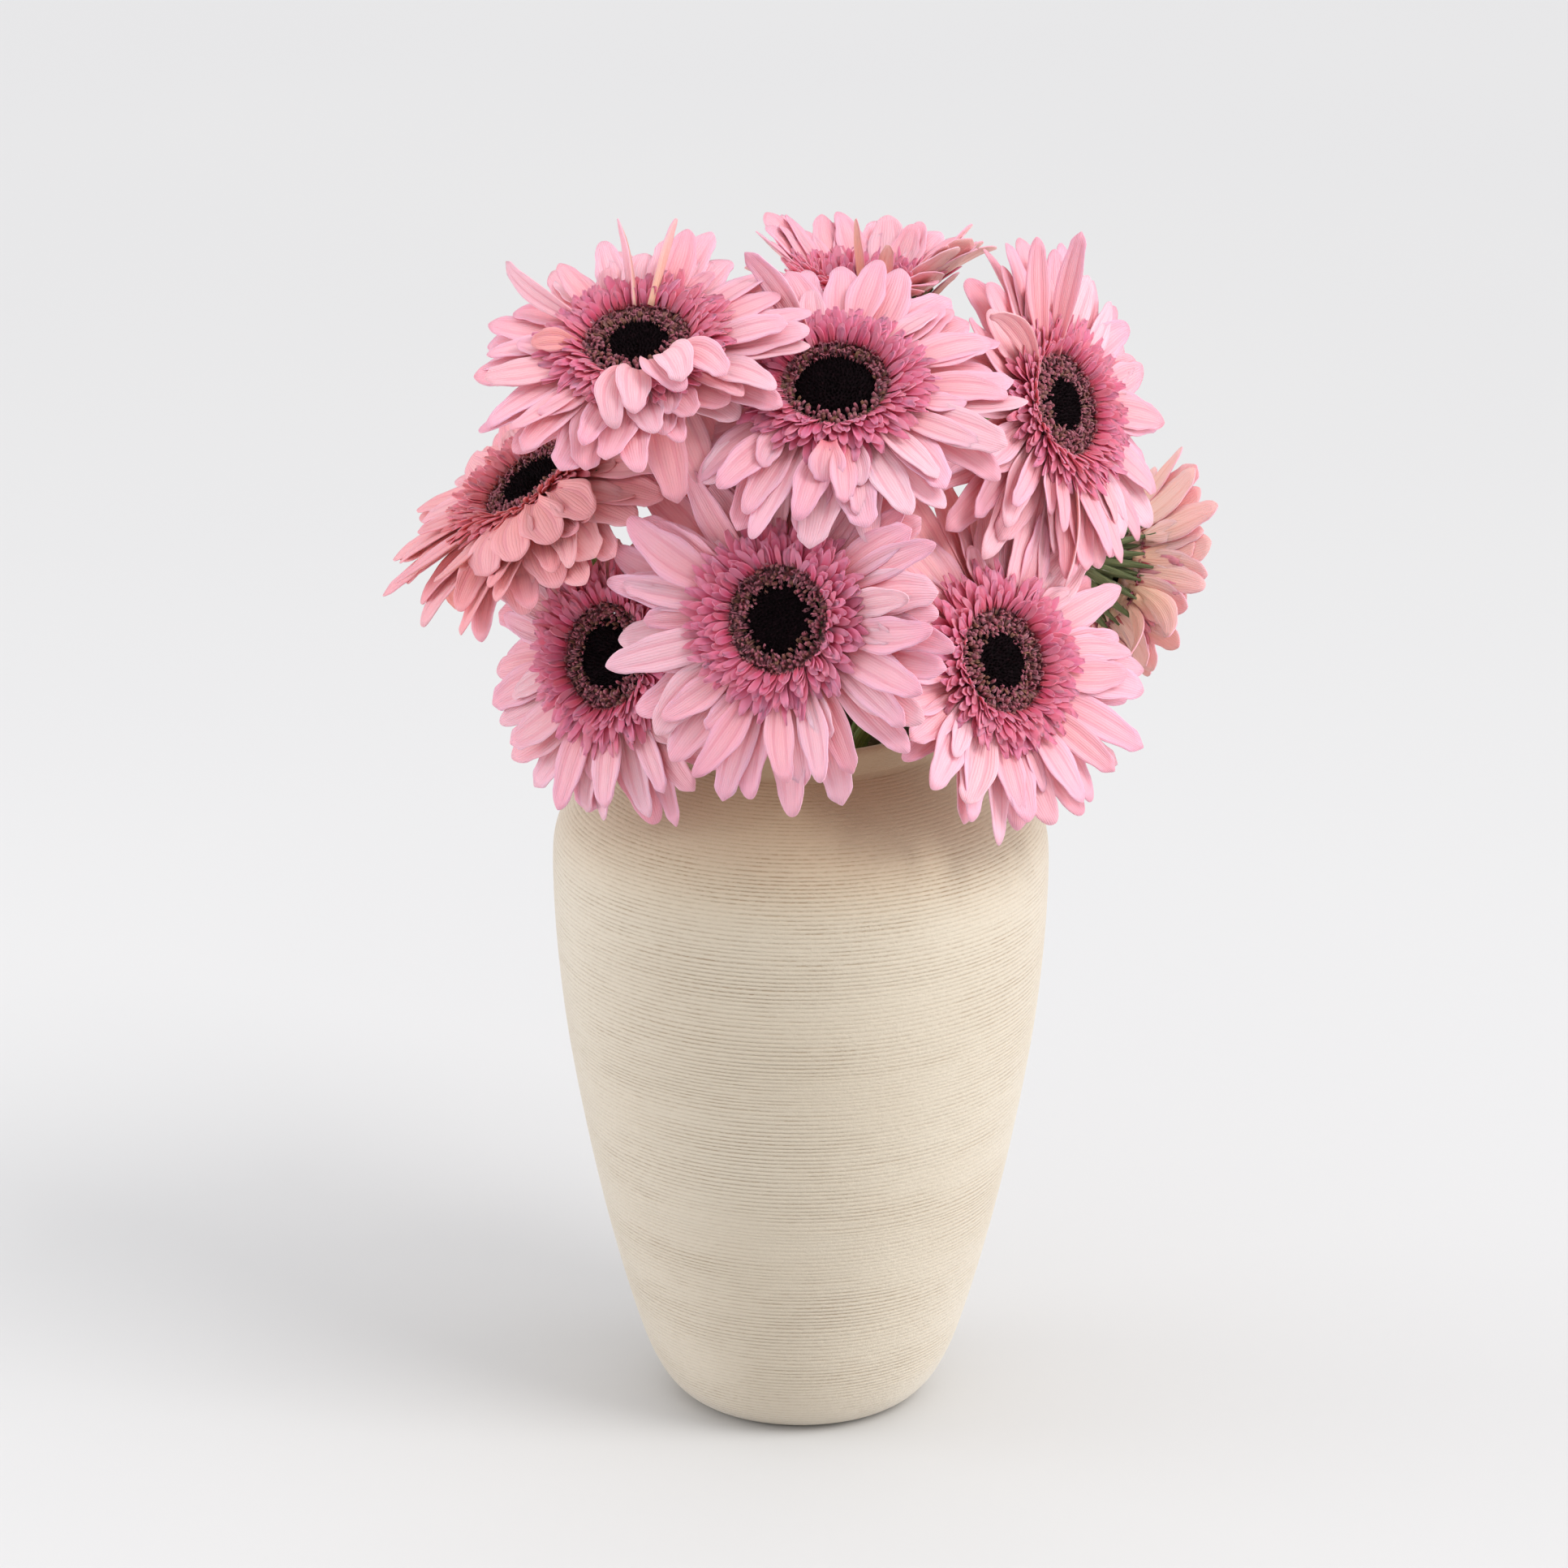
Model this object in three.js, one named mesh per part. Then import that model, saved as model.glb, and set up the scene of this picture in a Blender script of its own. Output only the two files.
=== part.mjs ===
// Nine semi-double gerberas standing in a tall turned clay vase.
// Millimetres, +Z up. The origin is the centre of the vase's flat base, on the table.
import * as THREE from 'three';

// ---------------------------------------------------------------- driving dimensions

// Vase: a broad-shouldered jar with a short straight collar.
const VASE_HEIGHT = 248;
const COLLAR_HEIGHT = 9;
const SHOULDER_HEIGHT = 51; // from the widest ring up to the collar
const FOOT_RADIUS = 38; // flat base
const BELLY_RADIUS = 84; // widest ring
const COLLAR_RADIUS = 49; // outside of the collar
const WALL = 5;
const FLOOR_THICKNESS = 7;
const LIP_ROUND = 1.6;
const VASE_SEGMENTS = 40;
const SIDE_STEPS = 24; // points up the outside of the vase
const COLLAR_BOTTOM = VASE_HEIGHT - COLLAR_HEIGHT;
const BELLY_HEIGHT = COLLAR_BOTTOM - SHOULDER_HEIGHT;

// Flower head, measured from the centre of its face.
const ROOT_RADIUS = 15; // where the long petals leave the receptacle
const PETAL_THICKNESS = 1.6;
const PETALS = 18;
const LOBE_STEPS = 3; // edge points to a petal: one notch and two at the tip
const NOTCH = 0.64; // share of the petal's length where neighbours part
const LENGTH_SPREAD = 0.05; // petals are up to twice this share shorter than the reach
const TIP_SPREAD = 1.2; // how far a tip strays up or down
const FLORET_RADIUS = 30; // outer edge of the short inner florets
const FLORET_HEIGHT = 5;
const FLORET_TEETH = 15;
const TOOTH_DEPTH = 2;
const DISC_HEIGHT = 5.5;
const LAYER_GAP = 0.6; // between the stacked pieces of one head
const FLORET_GAP = 1.1; // under the inner florets, whose facets differ from the petals'

// Calyx, the green cup under a head, and the stem that carries it.
const CALYX_RADIUS = 14;
const CALYX_DEPTH = 17;
const STEM_RADIUS = 2.9;
const STEM_SIDES = 8;
const STEM_STEPS = 13;
const STEM_GAP = 0.4; // stem to calyx, and stem to vase floor

// The stems pass the mouth and stand on the floor in two rings: the low heads' stems outside,
// the high heads' stems inside. Down the vase each ring turns by the same angle.
const OUTER_RING = { mouth: 24, foot: 28 };
const INNER_RING = { mouth: 9, foot: 11 };
const STEM_TURN = 50; // degrees

// Each flower: centre of its face, from the middle of the vase's mouth; where it faces (azimuth
// from the front towards +X, and elevation, in degrees); the reach of its long petals and their
// rise out of the face plane.
// pressed lists arcs of petals that a neighbour crowds: the angle of the arc's middle round the
// head, its half width and its change of rise, in degrees, and the share of the reach left there.
// ring and mouthAngle say where the stem passes the mouth, and back how far it runs straight
// behind the head.
const FLOWERS = [
  { name: 'top_left', at: [-53, -42, 137], azimuth: -14, elevation: 66, reach: 56, rise: -2,
    pressed: [[90, 60, 10, 1], [0, 60, 13, 1], [225, 50, -6, 1], [310, 46, -4, 0.62]],
    ring: INNER_RING, mouthAngle: 190, back: 30 },
  { name: 'top_middle', at: [11, -52, 126], azimuth: -3, elevation: 59, reach: 58, rise: -3,
    pressed: [[175, 80, -24, 1], [270, 50, -7, 1]],
    ring: INNER_RING, mouthAngle: 285, back: 30 },
  { name: 'top_right', at: [85, 12, 102], azimuth: 58, elevation: 22, reach: 57, rise: 8,
    pressed: [[180, 60, -12, 1]],
    ring: INNER_RING, mouthAngle: 50, back: 26 },
  { name: 'left', at: [-88, -15, 82], azimuth: -74, elevation: 53, reach: 58, rise: 6,
    pressed: [[75, 75, -20, 0.42], [340, 70, -16, 1]],
    ring: OUTER_RING, mouthAngle: 170, back: 26 },
  { name: 'lower_left', at: [-62, -42, 32], azimuth: -42, elevation: 16, reach: 57, rise: 0,
    pressed: [[95, 70, -12, 0.56]],
    ring: OUTER_RING, mouthAngle: 215, back: 12 },
  { name: 'front', at: [-6, -86, 59], azimuth: -26, elevation: 18, reach: 60, rise: 14,
    pressed: [[90, 70, -42, 0.94], [270, 60, -6, 1]],
    ring: OUTER_RING, mouthAngle: 262, back: 16 },
  { name: 'lower_right', at: [64, -43, 30], azimuth: 44, elevation: 24, reach: 59, rise: 9,
    pressed: [[100, 60, -30, 0.82]],
    ring: OUTER_RING, mouthAngle: 320, back: 12 },
  { name: 'back', at: [23, 50, 129], azimuth: 160, elevation: 80, reach: 41, rise: 33,
    pressed: [],
    ring: OUTER_RING, mouthAngle: 85, back: 36 },
  { name: 'nodding', at: [105, 58, 30], azimuth: 112, elevation: -22, reach: 40, rise: 50,
    pressed: [[90, 60, 12, 1]],
    ring: OUTER_RING, mouthAngle: 30, back: 12 },
];

// ---------------------------------------------------------------- finishes

const clay = new THREE.MeshStandardMaterial({ color: 0xe0d3bd, roughness: 0.85, metalness: 0 });
const petalPink = new THREE.MeshStandardMaterial({ color: 0xeaa7b6, roughness: 0.6, metalness: 0 });
const floretPink = new THREE.MeshStandardMaterial({ color: 0xcf5c86, roughness: 0.6, metalness: 0 });
const discDark = new THREE.MeshStandardMaterial({ color: 0x1d0f14, roughness: 0.9, metalness: 0 });
const calyxGreen = new THREE.MeshStandardMaterial({ color: 0x66703f, roughness: 0.8, metalness: 0 });
const stemGreen = new THREE.MeshStandardMaterial({ color: 0x76853f, roughness: 0.7, metalness: 0 });

// ---------------------------------------------------------------- helpers

const radians = THREE.MathUtils.degToRad;

// A value between -1 and 1 that is the same on every run.
function wobble(a, b) {
  const wave = Math.sin(a * 12.9898 + b * 78.233) * 43758.5453;
  return 2 * (wave - Math.floor(wave)) - 1;
}

// Turned solid about +Z from a profile of [radius, height] pairs, outside edge first going up.
function turned(profile, segments) {
  const points = profile.map(([radius, height]) => new THREE.Vector2(radius, height));
  return new THREE.LatheGeometry(points, segments).rotateX(Math.PI / 2);
}

// Moves each vertex of a turned solid: shape(segment, point, radius, height) gives the new
// [radius, height], and the vertex keeps its angle.
function reshape(geometry, profileLength, segments, shape) {
  const position = geometry.attributes.position;
  for (let i = 0; i < position.count; i += 1) {
    const segment = Math.floor(i / profileLength) % segments;
    const point = i % profileLength;
    const radius = Math.hypot(position.getX(i), position.getY(i));
    const angle = Math.atan2(position.getY(i), position.getX(i));
    const [newRadius, newHeight] = shape(segment, point, radius, position.getZ(i), angle);
    position.setXYZ(i, newRadius * Math.cos(angle), newRadius * Math.sin(angle), newHeight);
  }
  geometry.computeVertexNormals();
  return geometry;
}

// ---------------------------------------------------------------- vase

function vase() {
  const side = new THREE.SplineCurve([
    new THREE.Vector2(FOOT_RADIUS, 0),
    new THREE.Vector2(FOOT_RADIUS + 9, 8),
    new THREE.Vector2(FOOT_RADIUS + 18, 28),
    new THREE.Vector2(BELLY_RADIUS - 15, BELLY_HEIGHT * 0.41),
    new THREE.Vector2(BELLY_RADIUS - 4, BELLY_HEIGHT * 0.73),
    new THREE.Vector2(BELLY_RADIUS, BELLY_HEIGHT),
    new THREE.Vector2(BELLY_RADIUS - 3, BELLY_HEIGHT + SHOULDER_HEIGHT * 0.45),
    new THREE.Vector2(COLLAR_RADIUS + 16, BELLY_HEIGHT + SHOULDER_HEIGHT * 0.78),
    new THREE.Vector2(COLLAR_RADIUS, COLLAR_BOTTOM),
  ]).getPoints(SIDE_STEPS);
  const mouthRadius = COLLAR_RADIUS - WALL;
  const lipHeight = VASE_HEIGHT - LIP_ROUND;
  const outside = side.map((point) => [point.x, point.y]);
  outside.push([COLLAR_RADIUS, lipHeight]);
  outside.push([COLLAR_RADIUS - LIP_ROUND, VASE_HEIGHT]);
  const inside = [
    [mouthRadius + LIP_ROUND, VASE_HEIGHT],
    [mouthRadius, lipHeight],
    [mouthRadius, COLLAR_BOTTOM - WALL / 2],
  ];
  const everySecond = side.filter((point, i) => i % 2 === 0).reverse();
  everySecond.forEach((point) => {
    if (point.y > FLOOR_THICKNESS + WALL && point.y < COLLAR_BOTTOM - WALL) {
      inside.push([point.x - WALL, point.y - WALL * shoulderShare(point.y)]);
    }
  });
  inside.push([FOOT_RADIUS, FLOOR_THICKNESS]);
  const profile = [[0, 0], ...outside, ...inside, [0, FLOOR_THICKNESS]];
  return turned(profile, VASE_SEGMENTS);
}

// 0 on the upright wall, growing to 1 where the shoulder turns in towards the collar.
function shoulderShare(height) {
  const share = (height - BELLY_HEIGHT) / (COLLAR_BOTTOM - BELLY_HEIGHT);
  return THREE.MathUtils.clamp(share, 0, 1);
}

// ---------------------------------------------------------------- flower head

// Rise of a flower's petals, in radians, and the share of their reach, at an angle round it.
function petalsAt(flower, angle) {
  const degrees = THREE.MathUtils.radToDeg(angle);
  let rise = flower.rise;
  let reachShare = 1;
  flower.pressed.forEach(([middle, halfWidth, change, share]) => {
    const turn = THREE.MathUtils.euclideanModulo(degrees - middle + 180, 360) - 180;
    const near = THREE.MathUtils.smoothstep(1 - Math.abs(turn) / halfWidth, 0, 1);
    rise += change * near;
    reachShare += (share - 1) * near;
  });
  return { rise: radians(rise), reachShare };
}

// The ring of long petals: a thin dish with a lobed edge, one lobe to a petal.
function longPetals(flower, index) {
  const segments = PETALS * LOBE_STEPS;
  const half = PETAL_THICKNESS / 2;
  const length = flower.reach - ROOT_RADIUS;
  const profile = [
    [ROOT_RADIUS, -half],
    [ROOT_RADIUS + NOTCH * length, -half],
    [flower.reach, -half],
    [flower.reach, half],
    [ROOT_RADIUS + NOTCH * length, half],
    [ROOT_RADIUS, half],
    [ROOT_RADIUS, -half],
  ];
  return reshape(turned(profile, segments), profile.length, segments,
    (segment, point, radius, height, angle) => {
      const petal = Math.floor(segment / LOBE_STEPS);
      const { rise, reachShare } = petalsAt(flower, angle);
      const atNotch = segment % LOBE_STEPS === 0;
      let along = (radius - ROOT_RADIUS) * reachShare;
      let lift = 0;
      if (point === 2 || point === 3) {
        along *= atNotch ? NOTCH + 0.1 : 1 - LENGTH_SPREAD * (1 + wobble(petal, index));
        lift = atNotch ? 0 : TIP_SPREAD * wobble(index + 3, petal);
      }
      return [ROOT_RADIUS + along * Math.cos(rise), height + lift + along * Math.sin(rise)];
    });
}

// The raised ring of short inner florets, resting in the dish of the long petals.
function innerFlorets(flower) {
  const segments = FLORET_TEETH * 2;
  const bottom = PETAL_THICKNESS / 2 + FLORET_GAP;
  const top = bottom + FLORET_HEIGHT;
  const profile = [
    [ROOT_RADIUS, bottom],
    [FLORET_RADIUS, bottom],
    [FLORET_RADIUS, bottom + 1.5],
    [ROOT_RADIUS + 7, top],
    [ROOT_RADIUS, top - 0.5],
    [ROOT_RADIUS, bottom],
  ];
  return reshape(turned(profile, segments), profile.length, segments,
    (segment, point, radius, height, angle) => {
      const { rise } = petalsAt(flower, angle);
      const tooth = (point === 1 || point === 2) && segment % 2 === 1 ? TOOTH_DEPTH : 0;
      const along = radius - ROOT_RADIUS - tooth;
      return [ROOT_RADIUS + along * Math.cos(rise), height + along * Math.sin(rise)];
    });
}

// The dark centre: a low button with a dimpled top.
function disc() {
  const radius = ROOT_RADIUS - LAYER_GAP - 0.3;
  const profile = [
    [0, -PETAL_THICKNESS / 2],
    [radius, -PETAL_THICKNESS / 2],
    [radius, DISC_HEIGHT - 1.5],
    [radius - 2.5, DISC_HEIGHT],
    [0, DISC_HEIGHT - 1],
  ];
  return turned(profile, 16);
}

// The green cup of bracts under the head, open to the stem below it.
function calyx() {
  const top = -PETAL_THICKNESS / 2 - LAYER_GAP;
  const profile = [
    [0, top - CALYX_DEPTH],
    [STEM_RADIUS + 1, top - CALYX_DEPTH],
    [CALYX_RADIUS * 0.62, top - CALYX_DEPTH * 0.72],
    [CALYX_RADIUS * 0.92, top - CALYX_DEPTH * 0.36],
    [CALYX_RADIUS, top],
    [0, top],
  ];
  return turned(profile, 14);
}

// ---------------------------------------------------------------- stems

const ringPoint = (radius, angle, height) => new THREE.Vector3(
  radius * Math.cos(radians(angle)), radius * Math.sin(radians(angle)), height);

// Direction in which a head faces.
function facing(flower) {
  const azimuth = radians(flower.azimuth);
  const elevation = radians(flower.elevation);
  const level = Math.cos(elevation);
  return new THREE.Vector3(level * Math.sin(azimuth), -level * Math.cos(azimuth),
    Math.sin(elevation));
}

// Centre of a flower's face.
function faceCentre(flower) {
  return new THREE.Vector3(...flower.at).add(new THREE.Vector3(0, 0, VASE_HEIGHT));
}

// A round stem from under the calyx, back and down through the mouth to the vase floor.
function stem(flower) {
  const behind = facing(flower).negate();
  const calyxEnd = PETAL_THICKNESS / 2 + LAYER_GAP + CALYX_DEPTH;
  const top = faceCentre(flower).addScaledVector(behind, calyxEnd + STEM_GAP);
  const bend = top.clone().addScaledVector(behind, flower.back);
  const mouth = ringPoint(flower.ring.mouth, flower.mouthAngle, COLLAR_BOTTOM);
  const foot = ringPoint(flower.ring.foot, flower.mouthAngle + STEM_TURN,
    FLOOR_THICKNESS + STEM_RADIUS + STEM_GAP);
  const middle = mouth.clone().lerp(foot, 0.5);
  const path = new THREE.CatmullRomCurve3([foot, middle, mouth, bend, top], false, 'centripetal');
  const section = new THREE.Shape();
  section.absarc(0, 0, STEM_RADIUS, 0, 2 * Math.PI);
  return new THREE.ExtrudeGeometry(section, {
    extrudePath: path, steps: STEM_STEPS, bevelEnabled: false, curveSegments: STEM_SIDES / 2,
  });
}

// ---------------------------------------------------------------- assembly

function mesh(name, geometry, material) {
  const item = new THREE.Mesh(geometry, material);
  item.name = name;
  return item;
}

function flowerGroup(flower, index) {
  const head = new THREE.Group();
  head.position.copy(faceCentre(flower));
  head.rotation.set(radians(90 - flower.elevation), 0, radians(flower.azimuth), 'ZXY');
  head.add(mesh(`${flower.name}_petals`, longPetals(flower, index), petalPink));
  head.add(mesh(`${flower.name}_inner_florets`, innerFlorets(flower), floretPink));
  head.add(mesh(`${flower.name}_disc`, disc(), discDark));
  head.add(mesh(`${flower.name}_calyx`, calyx(), calyxGreen));
  const group = new THREE.Group();
  group.add(head);
  group.add(mesh(`${flower.name}_stem`, stem(flower), stemGreen));
  return group;
}

const bunch = new THREE.Group();
bunch.add(mesh('vase', vase(), clay));
FLOWERS.forEach((flower, index) => bunch.add(flowerGroup(flower, index)));

export default bunch;
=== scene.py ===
# Nine pink semi-double gerberas standing in a tall turned clay vase. Metres, +Z up.
import math
import random

import bpy
from mathutils import Matrix, Vector, noise


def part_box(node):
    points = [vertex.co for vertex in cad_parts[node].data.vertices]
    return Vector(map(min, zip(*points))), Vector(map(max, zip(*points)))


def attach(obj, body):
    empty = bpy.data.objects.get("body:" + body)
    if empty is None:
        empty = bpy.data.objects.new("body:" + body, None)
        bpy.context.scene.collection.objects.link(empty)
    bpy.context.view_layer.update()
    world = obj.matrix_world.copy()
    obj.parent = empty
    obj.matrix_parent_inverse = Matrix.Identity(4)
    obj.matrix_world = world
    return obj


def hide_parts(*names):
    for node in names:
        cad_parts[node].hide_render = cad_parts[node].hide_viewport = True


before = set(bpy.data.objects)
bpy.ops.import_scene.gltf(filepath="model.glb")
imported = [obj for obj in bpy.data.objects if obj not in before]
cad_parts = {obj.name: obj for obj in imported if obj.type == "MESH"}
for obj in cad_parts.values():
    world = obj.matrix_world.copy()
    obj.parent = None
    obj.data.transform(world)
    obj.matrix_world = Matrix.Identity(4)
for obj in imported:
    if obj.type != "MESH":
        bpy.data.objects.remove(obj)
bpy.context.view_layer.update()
scene = bpy.context.scene
MM = 0.001

# ------------------------ camera, lights and floor

CAMERA_LENS = 161.0  # mm
CAMERA_SENSOR = 36.0  # mm
CAMERA_PITCH = math.radians(19.4)  # looking down
CAMERA_REACH = 2.3706  # from the camera to the point it looks at
CAMERA_AIM = Vector((-0.0057, 0, 0.2205))

LIGHT_AIM = (0, 0, 0.25)
SUN_PLACE = (1.5, -0.95, 2.2)
SUN_STRENGTH = 1.22
SUN_ANGLE = math.radians(26)
BOX_PLACE = (1.7, -0.05, 0.32)  # of the right one; the left one stands half a turn round
BOX_POWER = 3.6
BOX_SIZE = 1.1
BOX_SPREAD = math.radians(80)
DOME_STRENGTH = (0.34, 1.19)  # at the horizon and overhead


def look(item, place, target):
    item.location = place
    item.rotation_euler = (target - place).to_track_quat("-Z", "Y").to_euler()


def camera():
    data = bpy.data.cameras.new("camera")
    data.lens = CAMERA_LENS
    data.sensor_width = CAMERA_SENSOR
    data.clip_start = 0.1
    data.clip_end = 50
    item = bpy.data.objects.new("camera", data)
    scene.collection.objects.link(item)
    away = Vector((0, -math.cos(CAMERA_PITCH), math.sin(CAMERA_PITCH)))
    look(item, CAMERA_AIM + away * CAMERA_REACH, CAMERA_AIM)
    scene.camera = item


def add_light(name, kind, place, energy, colour):
    data = bpy.data.lights.new(name, kind)
    data.energy = energy
    data.color = colour
    item = bpy.data.objects.new(name, data)
    scene.collection.objects.link(item)
    look(item, Vector(place), Vector(LIGHT_AIM))
    return data


def lights():
    """A soft sun from the front right, a square box at each side and a dome brightest overhead."""
    sun = add_light("key_sun", "SUN", SUN_PLACE, SUN_STRENGTH, (1.0, 0.985, 0.96))
    sun.angle = SUN_ANGLE
    across, back, height = BOX_PLACE
    for name, turned in (("right_box", 1), ("left_box", -1)):
        place = (turned * across, turned * back, height)
        box = add_light(name, "AREA", place, BOX_POWER, (0.97, 0.98, 1.0))
        box.shape = "SQUARE"
        box.size = BOX_SIZE
        box.spread = BOX_SPREAD
    world = bpy.data.worlds.new("studio")
    world.use_nodes = True
    tree = world.node_tree
    way = add_node(tree, "ShaderNodeTexCoord").outputs["Generated"]
    upward = add_node(tree, "ShaderNodeSeparateXYZ", {0: way}).outputs[2]
    background = tree.nodes["Background"].inputs
    background["Color"].default_value = (0.985, 0.985, 1.0, 1)
    plug(tree, background["Strength"], ranged(tree, upward, -0.05, 1.0, *DOME_STRENGTH))
    scene.world = world
    scene.view_settings.view_transform = "Standard"


# ------------------------ node helpers


def plug(tree, socket, value):
    """Links a socket to a value that is itself a socket, or sets it."""
    if isinstance(value, bpy.types.NodeSocket):
        tree.links.new(value, socket)
    else:
        socket.default_value = value


def add_node(tree, kind, inputs=(), **settings):
    node = tree.nodes.new(kind)
    for key, value in settings.items():
        setattr(node, key, value)
    for key, value in dict(inputs).items():
        plug(tree, node.inputs[key], value)
    return node


def maths(tree, operation, first, second=0.0, third=0.0):
    inputs = {0: first, 1: second, 2: third}
    return add_node(tree, "ShaderNodeMath", inputs, operation=operation).outputs[0]


def mixed(tree, factor, first, second, blend="MIX"):
    """Mixes in a second, plain colour by a factor."""
    inputs = {0: factor, 6: first, 7: (*second, 1)}
    node = add_node(tree, "ShaderNodeMix", inputs, data_type="RGBA", blend_type=blend)
    return node.outputs[2]


def ranged(tree, value, low, high, to_low=0.0, to_high=1.0):
    """Carries a value smoothly from the range low..high to the range to_low..to_high."""
    inputs = {0: value, 1: low, 2: high, 3: to_low, 4: to_high}
    node = add_node(tree, "ShaderNodeMapRange", inputs, interpolation_type="SMOOTHSTEP")
    return node.outputs[0]


def ramp(tree, factor, stops):
    node = add_node(tree, "ShaderNodeValToRGB", {0: factor})
    elements = node.color_ramp.elements
    while len(elements) < len(stops):
        elements.new(0.5)
    for element, (place, colour) in zip(elements, stops):
        element.position = place
        element.color = (*colour, 1)
    return node.outputs[0]


def bump(tree, height, distance):
    inputs = {"Height": height, "Distance": distance, "Strength": 1.0}
    return add_node(tree, "ShaderNodeBump", inputs).outputs[0]


def noise_mask(tree, vector, scale, detail=3.0, roughness=0.5):
    inputs = {"Vector": vector, "Scale": scale, "Detail": detail, "Roughness": roughness}
    return add_node(tree, "ShaderNodeTexNoise", inputs).outputs[0]


def object_place(tree):
    return add_node(tree, "ShaderNodeTexCoord").outputs["Object"]


def stretched(tree, vector, scale):
    return add_node(tree, "ShaderNodeMapping", {"Vector": vector, "Scale": scale}).outputs[0]


def effect_group(name, inputs, outputs):
    """An empty shader node group with named inputs (name: default) and outputs."""
    tree = bpy.data.node_groups.new(name, "ShaderNodeTree")
    for key, default in inputs.items():
        kind = "NodeSocketVector" if default is None else "NodeSocketFloat"
        socket = tree.interface.new_socket(key, in_out="INPUT", socket_type=kind)
        if default is not None:
            socket.default_value = default
    for key in outputs:
        tree.interface.new_socket(key, in_out="OUTPUT", socket_type="NodeSocketFloat")
    start = tree.nodes.new("NodeGroupInput")
    end = tree.nodes.new("NodeGroupOutput")
    return tree, start.outputs, end.inputs


def placed_group(tree, group, inputs):
    node = tree.nodes.new("ShaderNodeGroup")
    node.node_tree = group
    for key, value in inputs.items():
        plug(tree, node.inputs[key], value)
    return node.outputs


def new_material(name, **values):
    material = bpy.data.materials.new(name)
    material.use_nodes = True
    shader = material.node_tree.nodes["Principled BSDF"]
    for key, value in values.items():
        shader.inputs[key.replace("_", " ")].default_value = value
    return material, material.node_tree, shader.inputs


# ------------------------ shared effects


VEIN_COUNT = 13.0  # across a strap
WANDER = 0.05  # share of the width that veins and creases wander by
MIDDLE = 0.5 + WANDER / 2  # of a strap, once it has wandered
CREASE_PLACE = 0.2  # share of the width from the middle to each crease


def vein_group():
    """Lengthwise veins, and painted shade along two deeper creases, on a strap whose UV runs across in X."""
    tree, given, made = effect_group("petal veins", {"Strap": None, "Veins": VEIN_COUNT},
                                     ("Veins", "Crease shade", "Edges"))
    parts = add_node(tree, "ShaderNodeSeparateXYZ", {0: given["Strap"]}).outputs
    wander = noise_mask(tree, stretched(tree, given["Strap"], (3, 2, 1)), 4.0, 2.0)
    across = maths(tree, "MULTIPLY_ADD", wander, WANDER, parts[0])
    turns = maths(tree, "MULTIPLY", maths(tree, "MULTIPLY", across, given["Veins"]), math.tau)
    wave = maths(tree, "MULTIPLY_ADD", maths(tree, "COSINE", turns), 0.5, 0.5)
    streaks = noise_mask(tree, stretched(tree, given["Strap"], (16, 1.2, 1)), 3.0, 3.0)
    plug(tree, made["Veins"], maths(tree, "MULTIPLY", maths(tree, "POWER", wave, 2.5), streaks))
    off_middle = maths(tree, "ABSOLUTE", maths(tree, "SUBTRACT", across, MIDDLE))
    off_crease = maths(tree, "ABSOLUTE", maths(tree, "SUBTRACT", off_middle, CREASE_PLACE))
    # mask of painted shade along the two creases
    crease = ranged(tree, off_crease, 0.0, 0.08, 1.0, 0.0)
    fading = ranged(tree, parts[1], 0.97, 0.7)
    plug(tree, made["Crease shade"], maths(tree, "MULTIPLY", crease, fading))
    plug(tree, made["Edges"], ranged(tree, off_middle, 0.2, 0.5))
    return tree


def grain_group():
    """Broad mottling and fine grain over a piece, both 0 to 1."""
    tree, given, made = effect_group("mottle and grain", {"Place": None, "Mottle": 40.0, "Grain": 900.0},
                                     ("Mottle", "Grain"))
    plug(tree, made["Mottle"], noise_mask(tree, given["Place"], given["Mottle"], 4.0))
    plug(tree, made["Grain"], noise_mask(tree, given["Place"], given["Grain"], 2.0, 0.7))
    return tree


VEINS = vein_group()
GRAIN = grain_group()


def strap_inputs(tree):
    """UV of a strap, its share along, and the warmth, depth and chance given to each strap."""
    strap = add_node(tree, "ShaderNodeUVMap", {}, uv_map="strap").outputs[0]
    along = add_node(tree, "ShaderNodeSeparateXYZ", {0: strap}).outputs[1]
    tone = add_node(tree, "ShaderNodeAttribute", {}, attribute_name="tone").outputs["Color"]
    parts = add_node(tree, "ShaderNodeSeparateColor", {0: tone}).outputs
    return strap, along, parts


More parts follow.
